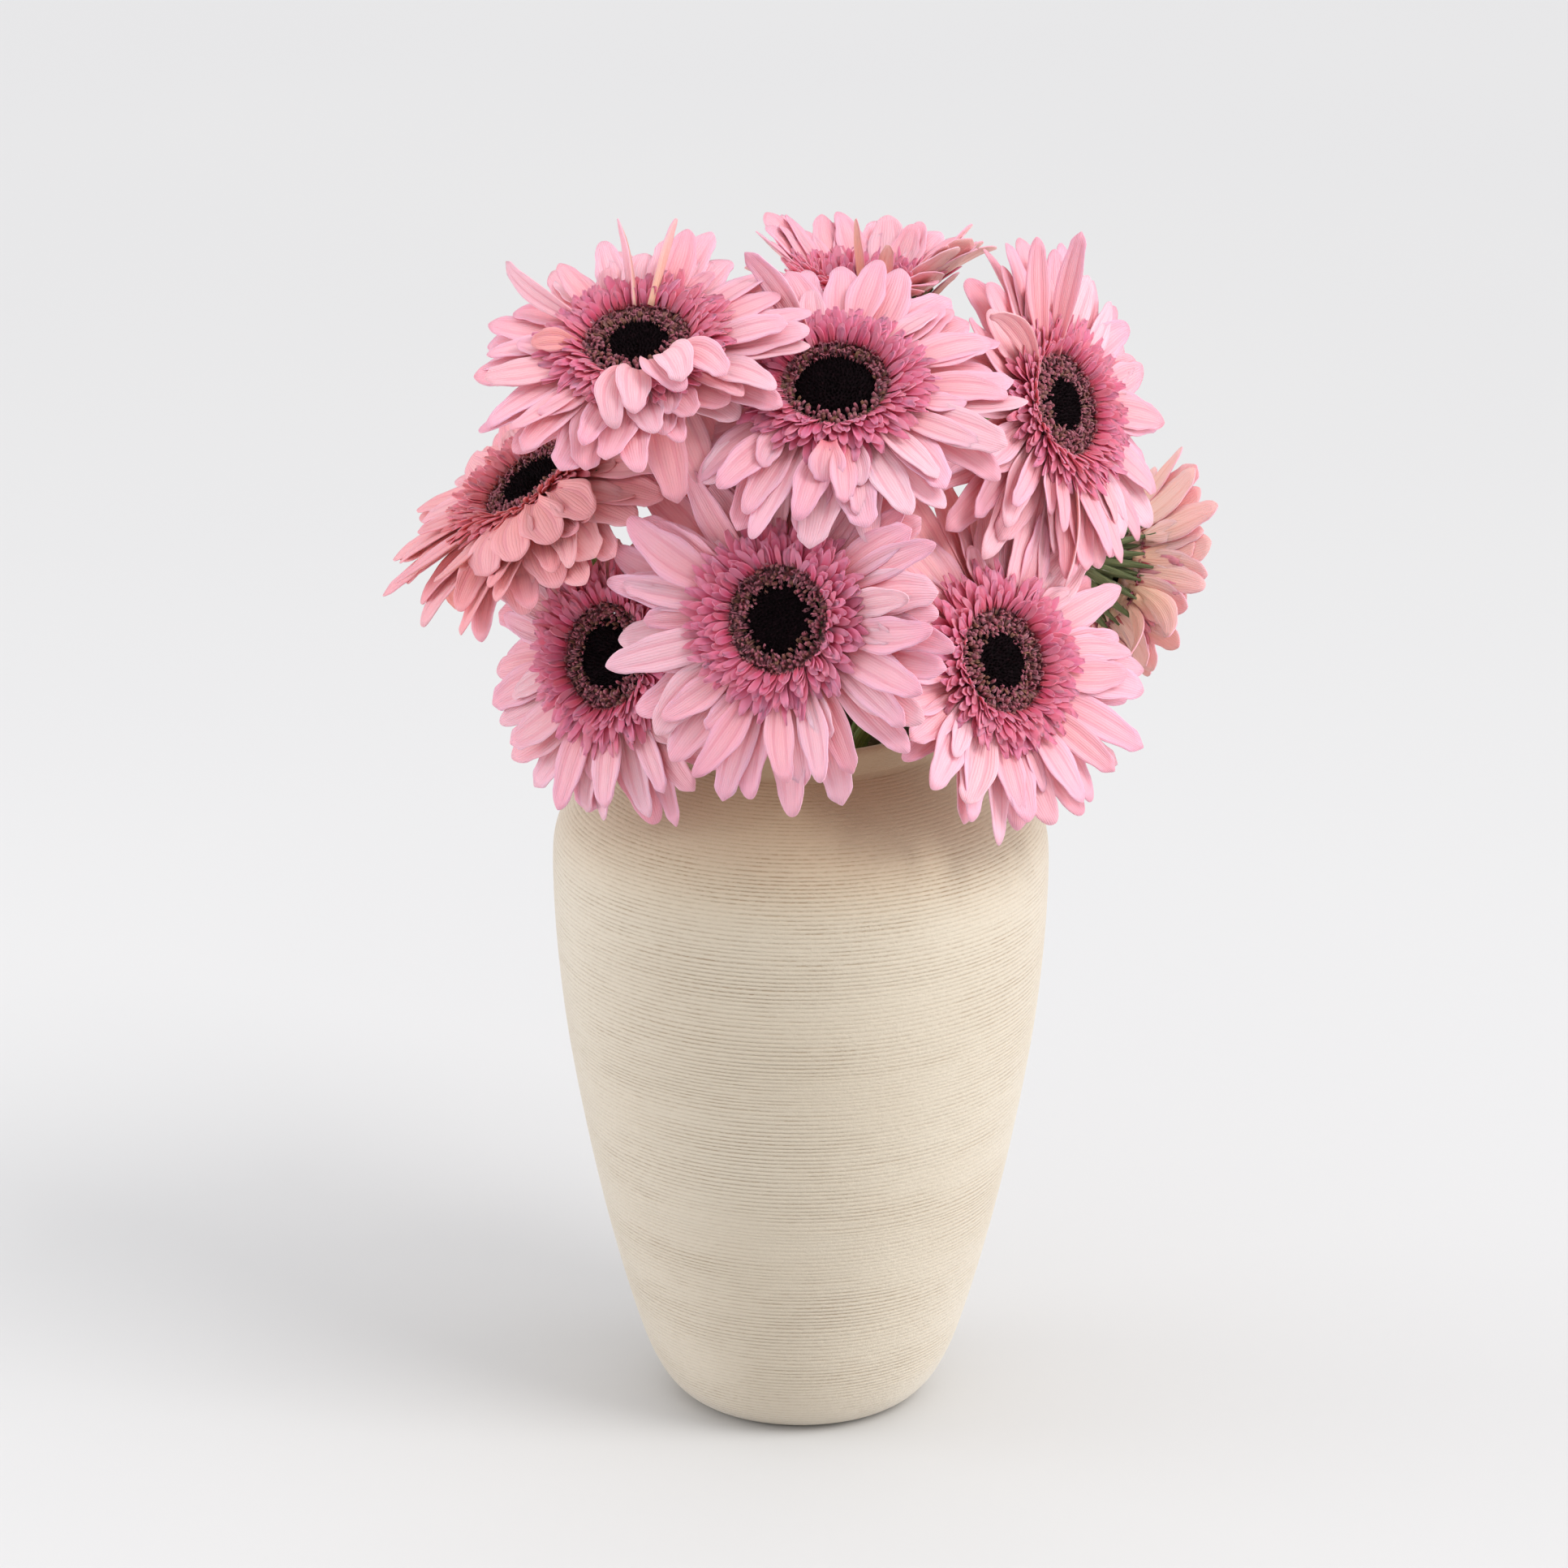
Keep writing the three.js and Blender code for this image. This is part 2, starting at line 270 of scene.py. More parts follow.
def petal_material(name, stops, warm, deep, edge, pale, vein_and_crease_shade, vein_share, crease_shade_share, subsurface):
    """Colour stops run from the root of a strap to its tip; each strap's own tone warms, deepens
    and pales them. edge is the colour of its two edges; the vein colour is that of its veins and
    also of the painted shade along its two creases."""
    material, tree, shader = new_material(name, Roughness=0.52, Specular_IOR_Level=0.35,
                                          Subsurface_Weight=subsurface, Subsurface_Scale=0.0016,
                                          Subsurface_Radius=(1.0, 0.42, 0.34), Sheen_Weight=0.12,
                                          Sheen_Roughness=0.45)
    strap, along, (warmth, depth, chance) = strap_inputs(tree)
    grain = placed_group(tree, GRAIN, {"Place": object_place(tree), "Mottle": 130.0, "Grain": 2600.0})
    moved = maths(tree, "MULTIPLY_ADD", maths(tree, "SUBTRACT", grain["Mottle"], 0.5), 0.22, along)
    veins = placed_group(tree, VEINS, {"Strap": strap, "Veins": VEIN_COUNT})
    edges = maths(tree, "MULTIPLY", veins["Edges"], ranged(tree, along, 0.1, 0.8, 0.1, 0.8))
    colour = mixed(tree, edges, ramp(tree, moved, stops), edge)
    colour = mixed(tree, ranged(tree, chance, 0.45, 1.0, 0.0, 0.6), colour, pale)
    colour = mixed(tree, warmth, colour, warm)
    colour = mixed(tree, depth, colour, deep, "MULTIPLY")
    colour = mixed(tree, maths(tree, "MULTIPLY", veins["Veins"], vein_share), colour, vein_and_crease_shade)
    # painted shade: the vein colour laid along the two creases stands in for the shade that falls in them
    colour = mixed(tree, maths(tree, "MULTIPLY", veins["Crease shade"], crease_shade_share), colour, vein_and_crease_shade)
    plug(tree, shader["Base Color"], colour)
    relief = maths(tree, "MULTIPLY_ADD", veins["Veins"], -0.6, maths(tree, "MULTIPLY", grain["Grain"], 0.25))
    plug(tree, shader["Normal"], bump(tree, relief, 0.00026))
    plug(tree, shader["Roughness"], ranged(tree, grain["Mottle"], 0.3, 0.7, 0.44, 0.56))
    return material


SHOULDER_PAINTED_SHADE = (0.19, 0.242)  # heights between which painted shade, standing in for the shadow of the flower heads, darkens the clay upwards
STAIN_RISE = (0.12, 0.22)  # heights between which the stain in the rings grows stronger


def clay_material():
    """Mottled cream clay, with brown stain left in the turned rings and painted shade darkening its shoulder
    where the flower heads' shadow falls.
    """
    material, tree, shader = new_material("cream clay", Roughness=0.8, Specular_IOR_Level=0.45,
                                          Sheen_Weight=0.5, Sheen_Roughness=0.55)
    place = object_place(tree)
    groove = add_node(tree, "ShaderNodeAttribute", {}, attribute_name="groove").outputs["Fac"]
    grain = placed_group(tree, GRAIN, {"Place": place, "Mottle": 18.0, "Grain": 1500.0})
    speckle = noise_mask(tree, stretched(tree, place, (1, 1, 2.6)), 420.0, 3.0, 0.7)
    broken = ranged(tree, speckle, 0.38, 0.62)
    patch = noise_mask(tree, stretched(tree, place, (1, 1, 5)), 26.0, 3.0)
    patchy = maths(tree, "MULTIPLY", groove, ranged(tree, patch, 0.3, 0.7, 0.55, 1.0))
    stain = maths(tree, "MULTIPLY", patchy, maths(tree, "MULTIPLY_ADD", broken, 0.6, 0.4))
    body = ramp(tree, grain["Mottle"], ((0.3, (0.675, 0.58, 0.45)), (0.7, (0.71, 0.62, 0.49))))
    height = add_node(tree, "ShaderNodeSeparateXYZ", {0: place}).outputs[2]
    # painted shade: the shoulder is darkened upwards to stand in for the shadow the flower heads cast on it
    body = mixed(tree, ranged(tree, height, *SHOULDER_PAINTED_SHADE), body, (0.79, 0.68, 0.54), "MULTIPLY")
    strength = maths(tree, "MULTIPLY", stain, ranged(tree, height, *STAIN_RISE, 0.75, 1.0))
    plug(tree, shader["Base Color"], mixed(tree, strength, body, (0.32, 0.20, 0.10)))
    relief = maths(tree, "MULTIPLY_ADD", grain["Grain"], 0.5, maths(tree, "MULTIPLY", broken, -0.5))
    plug(tree, shader["Normal"], bump(tree, relief, 0.00018))
    plug(tree, shader["Roughness"], ranged(tree, stain, 0.0, 1.0, 0.74, 0.92))
    return material


def eye_material():
    material, tree, shader = new_material("dark eye", Roughness=0.9, Specular_IOR_Level=0.08)
    grain = placed_group(tree, GRAIN, {"Place": object_place(tree), "Mottle": 700.0, "Grain": 3500.0})
    colour = ramp(tree, grain["Mottle"], ((0.35, (0.003, 0.0015, 0.002)), (0.62, (0.010, 0.004, 0.006)),
                                          (0.8, (0.035, 0.011, 0.015))))
    plug(tree, shader["Base Color"], colour)
    plug(tree, shader["Normal"], bump(tree, grain["Grain"], 0.0004))
    return material


def green_material(name, dark, light, pale, roughness):
    material, tree, shader = new_material(name, Roughness=roughness, Specular_IOR_Level=0.35,
                                          Subsurface_Weight=0.08, Subsurface_Scale=0.001)
    strap = add_node(tree, "ShaderNodeUVMap", {}, uv_map="strap").outputs[0]
    streaks = noise_mask(tree, stretched(tree, strap, (14, 1.5, 1)), 2.0, 3.0)
    grain = placed_group(tree, GRAIN, {"Place": object_place(tree), "Mottle": 60.0, "Grain": 2200.0})
    colour = mixed(tree, ranged(tree, streaks, 0.35, 0.65), (*dark, 1), light)
    colour = mixed(tree, ranged(tree, grain["Mottle"], 0.55, 0.8), colour, pale)
    plug(tree, shader["Base Color"], colour)
    relief = maths(tree, "MULTIPLY_ADD", grain["Grain"], 0.4, streaks)
    plug(tree, shader["Normal"], bump(tree, relief, 0.0002))
    return material


def floor_material():
    material, tree, shader = new_material("studio floor", Roughness=0.9, Specular_IOR_Level=0.15)
    cloud = noise_mask(tree, object_place(tree), 1.1, 2.0)
    colour = ramp(tree, cloud, ((0.3, (0.655, 0.655, 0.66)), (0.7, (0.67, 0.67, 0.67))))
    plug(tree, shader["Base Color"], colour)
    return material


PETAL_TOP = petal_material(
    "petal pink",
    stops=((0.0, (0.88, 0.20, 0.25)), (0.3, (0.95, 0.42, 0.47)), (0.75, (0.96, 0.51, 0.60)),
           (1.0, (0.95, 0.46, 0.60))),
    warm=(0.98, 0.38, 0.34), deep=(0.90, 0.62, 0.68), edge=(0.94, 0.52, 0.69), pale=(0.97, 0.66, 0.74),
    vein_and_crease_shade=(0.84, 0.26, 0.36), vein_share=0.3, crease_shade_share=0.4, subsurface=0.25)
PETAL_BACK = petal_material(
    "petal underside",
    stops=((0.0, (0.97, 0.64, 0.42)), (0.45, (0.98, 0.58, 0.48)), (1.0, (0.97, 0.53, 0.57))),
    warm=(0.99, 0.55, 0.37), deep=(0.88, 0.64, 0.66), edge=(0.96, 0.56, 0.62), pale=(0.97, 0.68, 0.70),
    vein_and_crease_shade=(0.82, 0.34, 0.28), vein_share=0.3, crease_shade_share=0.3, subsurface=0.25)
FLORET_TOP = petal_material(
    "inner floret pink",
    stops=((0.0, (0.56, 0.03, 0.08)), (0.45, (0.96, 0.11, 0.25)), (1.0, (0.98, 0.30, 0.48))),
    warm=(0.98, 0.24, 0.16), deep=(0.92, 0.60, 0.66), edge=(0.97, 0.26, 0.44), pale=(0.98, 0.38, 0.54),
    vein_and_crease_shade=(0.78, 0.06, 0.17), vein_share=0.12, crease_shade_share=0.0, subsurface=0.45)
FLORET_BACK = petal_material(
    "inner floret underside",
    stops=((0.0, (0.68, 0.09, 0.11)), (1.0, (0.96, 0.31, 0.41))),
    warm=(0.96, 0.34, 0.22), deep=(0.92, 0.60, 0.66), edge=(0.96, 0.32, 0.43), pale=(0.97, 0.42, 0.52),
    vein_and_crease_shade=(0.76, 0.14, 0.20), vein_share=0.2, crease_shade_share=0.0, subsurface=0.45)
LIP_TOP = petal_material(
    "disc floret maroon",
    stops=((0.0, (0.04, 0.014, 0.008)), (0.5, (0.20, 0.03, 0.045)), (1.0, (0.80, 0.22, 0.30))),
    warm=(0.30, 0.15, 0.06), deep=(0.50, 0.30, 0.34), edge=(0.50, 0.15, 0.22), pale=(0.66, 0.30, 0.36),
    vein_and_crease_shade=(0.12, 0.02, 0.03), vein_share=0.2, crease_shade_share=0.0, subsurface=0.05)
CLAY = clay_material()
EYE = eye_material()
CALYX_GREEN = green_material("calyx green", dark=(0.085, 0.12, 0.045), light=(0.22, 0.26, 0.12),
                             pale=(0.36, 0.37, 0.22), roughness=0.7)
STEM_GREEN = green_material("stem green", dark=(0.14, 0.22, 0.05), light=(0.26, 0.35, 0.10),
                            pale=(0.36, 0.42, 0.18), roughness=0.6)
HAIR_SILVER = green_material("silver hair", dark=(0.42, 0.42, 0.32), light=(0.6, 0.6, 0.5),
                             pale=(0.7, 0.7, 0.62), roughness=0.6)
FLOOR = floor_material()

# ------------------------ mesh helpers


def deselect():
    bpy.ops.object.select_all(action="DESELECT")


def make_active(item):
    deselect()
    item.select_set(True)
    bpy.context.view_layer.objects.active = item


def select_points(mesh, wanted):
    """Selects the points of a mesh whose place passes a test, and nothing else."""
    for face in mesh.polygons:
        face.select = False
    for vertex in mesh.vertices:
        vertex.select = wanted(vertex.co)
    for edge in mesh.edges:
        edge.select = all(mesh.vertices[index].select for index in edge.vertices)


def apply_modifier(item, kind, **settings):
    make_active(item)
    modifier = item.modifiers.new(kind.lower(), kind)
    for key, value in settings.items():
        setattr(modifier, key, value)
    bpy.ops.object.modifier_apply(modifier=modifier.name)


def new_item(name, points, faces, uvs, materials):
    """An object with a new mesh; uvs is one flat list, two numbers for each corner of each face."""
    mesh = bpy.data.meshes.new(name)
    mesh.from_pydata(points, [], faces)
    mesh.uv_layers.new(name="strap").data.foreach_set("uv", uvs)
    for material in materials:
        mesh.materials.append(material)
    mesh.update()
    item = bpy.data.objects.new(name, mesh)
    scene.collection.objects.link(item)
    return item


def finish_piece(item, node):
    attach(item, "root")
    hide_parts(node)


def catmull(values, share):
    """Point at a share of the way along a list of points, on a smooth curve through them."""
    last = len(values) - 1
    place = min(max(share, 0.0), 1.0) * last
    start = min(int(place), last - 1)
    t = place - start
    near = [values[min(max(start + step, 0), last)] for step in (-1, 0, 1, 2)]
    first = (near[2] - near[0]) * 0.5
    second = (near[3] - near[1]) * 0.5
    return (near[1] * (2 * t ** 3 - 3 * t ** 2 + 1) + first * (t ** 3 - 2 * t ** 2 + t)
            + near[2] * (3 * t ** 2 - 2 * t ** 3) + second * (t ** 3 - t ** 2))


def smoothstep(value, low=0.0, high=1.0):
    share = min(max((value - low) / (high - low), 0.0), 1.0)
    return share * share * (3 - 2 * share)


# ------------------------ vase

RING_PITCH = (1.15, 1.85)  # mm from one turned ring to the next
RING_DEPTH = (0.14, 0.34)  # mm, shallowest and deepest
RING_WANDER = 0.22  # mm up and down
# One ring: shares of the pitch and of the depth.
RING_STEPS = ((0.0, 0.0), (0.36, 0.0), (0.62, 1.0), (0.82, 0.35))
PLAIN_FOOT = 2.5  # mm left smooth above the table
RINGS_END = 240  # mm, height at which the smooth collar begins
# The lip, from the collar's outside to just inside the mouth: mm inwards and mm below the top.
LIP_ROWS = ((0.3, 3.0), (0.55, 1.4), (1.3, 0.3), (2.4, 0.0), (3.6, 0.35), (4.5, 1.4))
OUTSIDE_STEPS = 900  # along the outside, far finer than the rings
INSIDE_STEPS = 34
AROUND_STEPS = 128


def vase_profile(side):
    """(radius, height) rows of the CAD vase whose faces look outwards (1) or inwards (-1), in mm."""
    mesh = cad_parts["vase"].data
    rows = {}
    for face in mesh.polygons:
        away = Vector((face.center.x, face.center.y, 0))
        if away.length > 0 and face.normal.dot(away.normalized()) * side > 0.05:
            for index in face.vertices:
                place = mesh.vertices[index].co / MM
                radius = math.hypot(place.x, place.y)
                rows[(round(radius, 1), round(place.z, 1))] = Vector((radius, place.z))
    return sorted(rows.values(), key=lambda row: row.y)


def dense(rows, steps):
    """The same line with its rows at even steps on a smooth curve."""
    return [catmull(rows, step / steps) for step in range(steps + 1)]


def ringed_outside(draw):
    """Rows up the outside of the vase with the turned rings: (radius, height, groove share)."""
    line = dense([row for row in vase_profile(1) if row.y < RINGS_END], OUTSIDE_STEPS)
    made = []
    next_ring, pitch = PLAIN_FOOT, draw.uniform(*RING_PITCH)
    marks = []
    length = sum((b - a).length for a, b in zip(line, line[1:]))
    while next_ring + pitch < length - 0.5:
        marks += [(next_ring + share * pitch, groove) for share, groove in RING_STEPS]
        next_ring += pitch
        pitch = draw.uniform(*RING_PITCH)
    travelled, mark = 0.0, 0
    for start, end in zip(line, line[1:]):
        step = (end - start).length
        while mark < len(marks) and travelled + step >= marks[mark][0]:
            place = start.lerp(end, (marks[mark][0] - travelled) / step)
            made.append((place.x, place.y, marks[mark][1]))
            mark += 1
        travelled += step
    foot = [(line[0].x - 1.2, 0.0, 0.0), (line[0].x, 0.5, 0.0)]
    return foot + made + [(line[-1].x, line[-1].y, 0.0)]


def vase_line():
    """The whole profile from the middle of the foot, up the outside, over the lip and down inside."""
    outside = ringed_outside(random.Random(41))
    radius, low = outside[-1][:2]
    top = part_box("vase")[1].z / MM
    collar = [(radius - 0.35, low + 0.9, 0.0)]
    collar += [(radius - inwards, top - below, 0.0) for inwards, below in LIP_ROWS]
    inner = [row for row in vase_profile(-1) if row.y < top - 4]
    inside = [(row.x, row.y, 0.0) for row in reversed(dense(inner, INSIDE_STEPS))]
    foot = [(0.0, 0.6, 0.0), (outside[0][0] - 4, 0.6, 0.0), (outside[0][0] - 2.2, 0.0, 0.0)]
    return foot + outside + collar + inside + [(0.0, inside[-1][1], 0.0)]


def vase():
    """Spins the profile round the upright axis and cuts the rings into it."""
    line = vase_line()
    deselect()
    bpy.ops.mesh.primitive_grid_add(x_subdivisions=len(line) - 1, y_subdivisions=1, size=2)
    item = bpy.context.object
    item.name = "turned_vase"
    select_points(item.data, lambda place: place.y > 0)
    bpy.ops.object.mode_set(mode="EDIT")
    bpy.ops.mesh.delete(type="VERT")
    bpy.ops.object.mode_set(mode="OBJECT")
    groove = item.data.attributes.new("groove", "FLOAT", "POINT")
    in_order = sorted(item.data.vertices, key=lambda vertex: vertex.co.x)
    for vertex, (radius, height, share) in zip(in_order, line):
        vertex.co = Vector((radius, 0, height)) * MM
        groove.data[vertex.index].value = share
    bpy.ops.object.mode_set(mode="EDIT")
    bpy.ops.mesh.select_all(action="SELECT")
    bpy.ops.mesh.spin(steps=AROUND_STEPS, angle=math.tau, center=(0, 0, 0), axis=(0, 0, 1))
    bpy.ops.mesh.select_all(action="SELECT")
    bpy.ops.mesh.remove_doubles(threshold=0.00001)
    bpy.ops.mesh.normals_make_consistent(inside=False)
    bpy.ops.object.mode_set(mode="OBJECT")
    throw_rings(item.data)
    bpy.ops.object.shade_smooth()
    item.data.materials.append(CLAY)
    finish_piece(item, "vase")


def throw_rings(mesh):
    """Cuts the rings to an uneven depth and lets them wander, as a tool held by hand does."""
    grooves = mesh.attributes["groove"].data
    for vertex in mesh.vertices:
        share = grooves[vertex.index].value
        around = Vector((vertex.co.x, vertex.co.y, 0))
        if around.length < 0.001:
            continue
        around.normalize()
        slow = noise.noise(around * 1.3 + Vector((0, 0, vertex.co.z * 55)))
        quick = noise.noise(around * 9 + Vector((0, 0, vertex.co.z * 400)))
        shallow, deep = RING_DEPTH
        depth = shallow + (deep - shallow) * smoothstep(slow + 0.5 * quick, -0.5, 0.5)
        fade = smoothstep(vertex.co.z, 0.0, 0.03) * 0.6 + 0.4
        vertex.co -= around * (share * depth * fade * MM)
        if share > 0:
            place = around * 2.2 + Vector((0, 0, vertex.co.z * 30))
            vertex.co.z += RING_WANDER * MM * noise.noise(place)
        grooves[vertex.index].value = share * (0.45 + 0.55 * smoothstep(slow + 0.6 * quick, -0.5, 0.5))


# ------------------------ straps: petals, florets and bracts


class Strap:
    """A flat strap from a grid: (across in half widths, along in lengths, height in mm) at each point."""

    def __init__(self, across, along, shape):
        deselect()
        bpy.ops.mesh.primitive_grid_add(x_subdivisions=across, y_subdivisions=along, size=2)
        grid = bpy.context.object
        mesh = grid.data
        self.points = [shape(vertex.co.x, (vertex.co.y + 1) / 2) for vertex in mesh.vertices]
        self.faces = [tuple(face.vertices) for face in mesh.polygons]
        self.uvs = [((mesh.vertices[loop.vertex_index].co.x + 1) / 2,
                     (mesh.vertices[loop.vertex_index].co.y + 1) / 2) for loop in mesh.loops]
        bpy.data.objects.remove(grid)
        bpy.data.meshes.remove(mesh)


PETAL_TAPER = 0.34  # share of the width lost towards the tip
TAPER_START = 0.68  # share of the length
CREASE_DEPTH = 0.5  # mm
CREASE_SIDE = 0.4  # in half widths from the middle


def petal_shape(foot, full, tip_round, notch, cup):
    """Outline of a long petal: narrow at its foot, widest at a share of its length, rounded or
    notched at its tip, cupped (mm) at its foot and creased lengthwise."""

    def shape(across, along):
        side = abs(across)
        width = foot + (1 - foot) * smoothstep(along, 0.0, full)
        width *= 1 - PETAL_TAPER * smoothstep(along, TAPER_START, 1.0)
        reach = along - tip_round * side ** 2.4 * smoothstep(along, 0.35, 1.0)
        reach -= notch * (1 - abs(2 * side - 1)) * smoothstep(along, 0.9, 1.0)
        height = cup * side ** 2 * (1 - 0.75 * along)
        crease = CREASE_DEPTH * math.exp(-((side - CREASE_SIDE) / 0.12) ** 2)
        height -= crease * smoothstep(along, 0.02, 0.3) * (1 - smoothstep(along, 0.75, 1.0))
        return across * width, reach, height

    return shape


PETALS = [
    Strap(10, 13, petal_shape(0.38, 0.62, 0.12, 0.012, 1.5)),
    Strap(10, 13, petal_shape(0.42, 0.55, 0.09, 0.022, 1.1)),
    Strap(10, 13, petal_shape(0.34, 0.66, 0.15, 0.0, 1.8)),
    Strap(10, 13, petal_shape(0.40, 0.50, 0.13, 0.016, 0.8)),
]


def small_shape(foot, widening, taper, taper_start, fold, tip_round=0.0):
    """Outline of a small strap: widens over a range from its foot, then tapers, edges folded up (mm)."""

    def shape(across, along):
        width = across * (foot + (1 - foot) * smoothstep(along, *widening))
        width *= 1 - taper * smoothstep(along, taper_start, 1)
        reach = along - tip_round * abs(across) * smoothstep(along, 0.6, 1)
        return width, reach, fold * abs(across)

    return shape


def bract_shape(across, along):
    """Outline of a bract: pointed, widest at its foot."""
    return across * (1 - 0.95 * along ** 1.6), along, 0.5 * abs(across)


FLORETS = [
    Strap(2, 5, small_shape(0.5, (0, 0.5), 0.35, 0.8, 0.35, 0.10)),
    Strap(2, 5, small_shape(0.45, (0, 0.7), 0.55, 0.75, 0.5)),
]
LIP = Strap(2, 4, small_shape(0.6, (0.3, 0.7), 0.45, 0.85, 0.4))
TUFT = Strap(1, 4, small_shape(1.0, (0, 1), 0.8, 0.3, 0.0))
BRACT = Strap(2, 5, bract_shape)

PATH_STEPS = 16  # along the curve that a strap is bent to
CURL_START = 0.6  # share of the length
CURL_SQUARE = 0.16  # square of the share left after it


class Bed:
    """Collects straps laid on a flower head, and makes them one mesh."""

    def __init__(self):
        self.points = []
        self.faces = []
        self.uvs = []
        self.tones = []

    def lay(self, strap, angle, root, height, length, width, rise, droop=0.0, curl=0.0, twist=0.0,
            swing=0.0, tilt=0.0, tone=(0.0, 0.0, 0.5)):
        """Lays a strap outwards from a root radius and height (mm), at an angle round the head.
        rise is its slope at the root, droop the change of slope along it and curl the change at
        its tip; twist and tilt turn it about its length, and swing bends it sideways (degrees).
        tone is its warmth, its depth of colour and a chance number, each from 0 to 1."""
        first = len(self.points)
        radius = root
        level = height
        path = [(root, height, math.radians(rise))]
        for step in range(1, PATH_STEPS + 1):
            share = step / PATH_STEPS
            curled = curl * max(0.0, share - CURL_START) ** 2 / CURL_SQUARE
            slope = math.radians(rise + droop * share + curled)
            radius += math.cos(slope) * length / PATH_STEPS
            level += math.sin(slope) * length / PATH_STEPS
            path.append((radius, level, slope))
        for across, along, lift in strap.points:
            place = min(max(along, 0.0), 1.0) * PATH_STEPS
            start = min(int(place), PATH_STEPS - 1)
            part = place - start
            near, far = path[start], path[start + 1]
            radius = near[0] + (far[0] - near[0]) * part
            level = near[1] + (far[1] - near[1]) * part
            slope = near[2] + (far[2] - near[2]) * part
            turn = math.radians(angle + swing * along * along)
            out = Vector((math.cos(turn), math.sin(turn), 0))
            side = Vector((math.sin(turn), -math.cos(turn), 0))
            up = out * -math.sin(slope) + Vector((0, 0, math.cos(slope)))
            lean = math.radians(tilt + twist * along)
            wide = side * math.cos(lean) + up * math.sin(lean)
            tall = up * math.cos(lean) - side * math.sin(lean)
            point = out * radius + Vector((0, 0, level)) + wide * (across * width / 2)
            self.points.append(point + tall * lift)
        self.faces += [tuple(first + index for index in face) for face in strap.faces]
        self.uvs += strap.uvs
        self.tones += [tone] * len(strap.points)

    def piece(self, name, head, materials, thickness):
        """Makes the mesh, places it on its head and gives the straps their thickness."""
        points = [head @ (point * MM) for point in self.points]
        item = new_item(name, points, self.faces, [value for uv in self.uvs for value in uv], materials)
        tones = item.data.attributes.new("tone", "FLOAT_COLOR", "POINT")
        tones.data.foreach_set("color", [value for tone in self.tones for value in (*tone, 1.0)])
        apply_modifier(item, "SOLIDIFY", thickness=thickness * MM, offset=-1.0,
                       material_offset=len(materials) - 1, material_offset_rim=0)
        bpy.ops.object.shade_smooth()
        return item


# ------------------------ flower heads

# Each flower: radius of its dark eye (mm), reach of its petals from the middle of its face (mm) and
# their rise (degrees), the warmth that turns them towards peach (0 to 1), and the arcs that a
# neighbour presses: middle and half width of the arc and its change of rise (degrees), and the
# share of the reach left.
FLOWERS = {
    "top_left": dict(eye=9.6, reach=56, rise=-2, warmth=0.10, pressed=(
        (90, 60, 10, 1), (0, 60, 13, 1), (225, 50, -6, 1), (310, 46, -4, 0.62))),
    "top_middle": dict(eye=13.2, reach=58, rise=-3, warmth=0.0, pressed=(
        (175, 80, -24, 1), (270, 50, -7, 1), (95, 60, 2, 1.07))),
    "top_right": dict(eye=9.0, reach=57, rise=8, warmth=0.12, pressed=((180, 60, -12, 1),)),
    "left": dict(eye=11.0, reach=58, rise=6, warmth=0.5, pressed=((75, 75, -20, 0.42), (340, 70, -16, 1))),
    "lower_left": dict(eye=10.6, reach=57, rise=0, warmth=0.05, pressed=((95, 70, -12, 0.56),)),
    "front": dict(eye=10.8, reach=60, rise=14, warmth=0.0, pressed=((90, 70, -42, 0.94), (270, 60, -6, 1))),
    "lower_right": dict(eye=9.2, reach=59, rise=9, warmth=0.08, pressed=((100, 60, -30, 0.82),)),
    "back": dict(eye=11.0, reach=47, rise=50, warmth=0.1, pressed=((90, 80, -62, 1.1),)),
    "nodding": dict(eye=10.5, reach=41, rise=48, warmth=0.15, pressed=((95, 75, -12, 1.3),)),
}
HALF_DISH = 0.8  # mm from the face plane down to the back of the CAD disc


def plain(angle, length, width, rise, droop, warmth, root=15, height=-1):
    """A listed petal with no twist, tilt or swing."""
    return angle, root, height, length, width, rise, droop, 0, 0, 0, warmth
